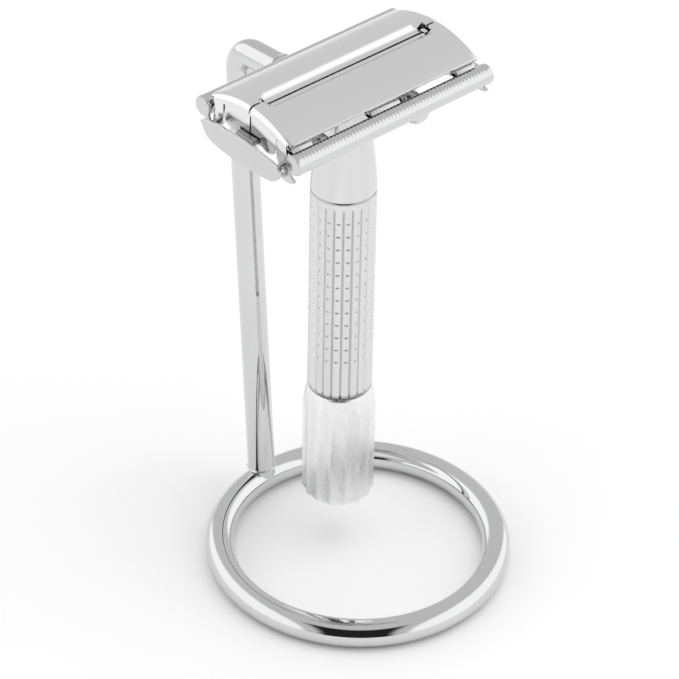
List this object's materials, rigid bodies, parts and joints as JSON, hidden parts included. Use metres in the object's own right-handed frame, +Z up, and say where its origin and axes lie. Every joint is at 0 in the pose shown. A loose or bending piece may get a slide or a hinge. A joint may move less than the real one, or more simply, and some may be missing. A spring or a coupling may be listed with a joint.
{
  "type": "safety razor",
  "caption": "Twist-to-open double-edge safety razor with hinged doors, ribbed grip and fluted knob, hanging in a wire stand with a ring foot.",
  "frame": {"origin": "centre of the stand's foot ring, on the table", "axes": "+Z up, along the razor's handle; +X along the razor's head; +Y towards the stand's upright"},
  "size_m": [0.055, 0.063, 0.102],
  "materials": {
    "chrome_wire": "mirror polished chrome plate",
    "chrome_handle": "polished chrome plate",
    "chrome_knob": "polished chrome plate",
    "satin_doors": "fine satin plated",
    "plated_guard": "polished plated",
    "plated_bracket": "polished plated",
    "steel_inner": "turned",
    "brass_inner": "turned",
    "weld": "plated weld"
  },
  "bodies": {
    "stand": {"stand_ring": "chrome_wire", "stand_post": "chrome_wire", "stand_fork": "chrome_wire", "foot_weld": "weld", "fork_weld": "weld"},
    "razor": {"handle_tube": "chrome_handle", "neck": "chrome_handle", "bearing_bush": "brass_inner", "thrust_washer": "steel_inner", "guard_plate": "plated_guard", "centre_bar": "plated_bracket", "centre_bar_posts": "steel_inner"},
    "carrier": {"carrier_frame": "plated_bracket", "end_plate_right": "plated_bracket", "end_plate_left": "plated_bracket", "end_plate_rivets": "steel_inner", "front_hinge_pins": "steel_inner", "rear_hinge_pins": "steel_inner", "pull_rod": "steel_inner", "rod_nut": "brass_inner"},
    "door_rear": {"rear_door": "satin_doors"},
    "door_front": {"front_door": "satin_doors"},
    "knob_body": {"knob": "chrome_knob", "knob_end_cap": "chrome_knob", "knob_spindle": "steel_inner", "knob_cross_pin": "steel_inner", "retaining_ring": "steel_inner"}
  },
  "joints": [
    {"name": "razor_lift", "type": "slide", "parent": "stand", "child": "razor", "axis": [0, 0, 1], "range_m": [0, 0.085]},
    {"name": "knob_turn", "type": "hinge", "parent": "razor", "child": "knob_body", "pos_m": [0, 0.0058, 0.0354], "axis": [0, 0, 1], "range_deg": [0, 720]},
    {"name": "carrier_lift", "type": "slide", "parent": "razor", "child": "carrier", "axis": [0, 0, 1], "range_m": [0, 0.005]},
    {"name": "rear_door_swing", "type": "hinge", "parent": "carrier", "child": "door_rear", "pos_m": [0, 0.0141, 0.0949], "axis": [-1, 0, 0], "range_deg": [0, 80]},
    {"name": "front_door_swing", "type": "hinge", "parent": "carrier", "child": "door_front", "pos_m": [0, -0.0025, 0.0949], "axis": [1, 0, 0], "range_deg": [0, 80]}
  ],
  "couplings": [
    {"joint": "knob_turn", "follows": "carrier_lift", "rad_per_m": 2513.3},
    {"joint": "rear_door_swing", "follows": "carrier_lift", "rad_per_m": 279.25},
    {"joint": "front_door_swing", "follows": "carrier_lift", "rad_per_m": 279.25}
  ]
}
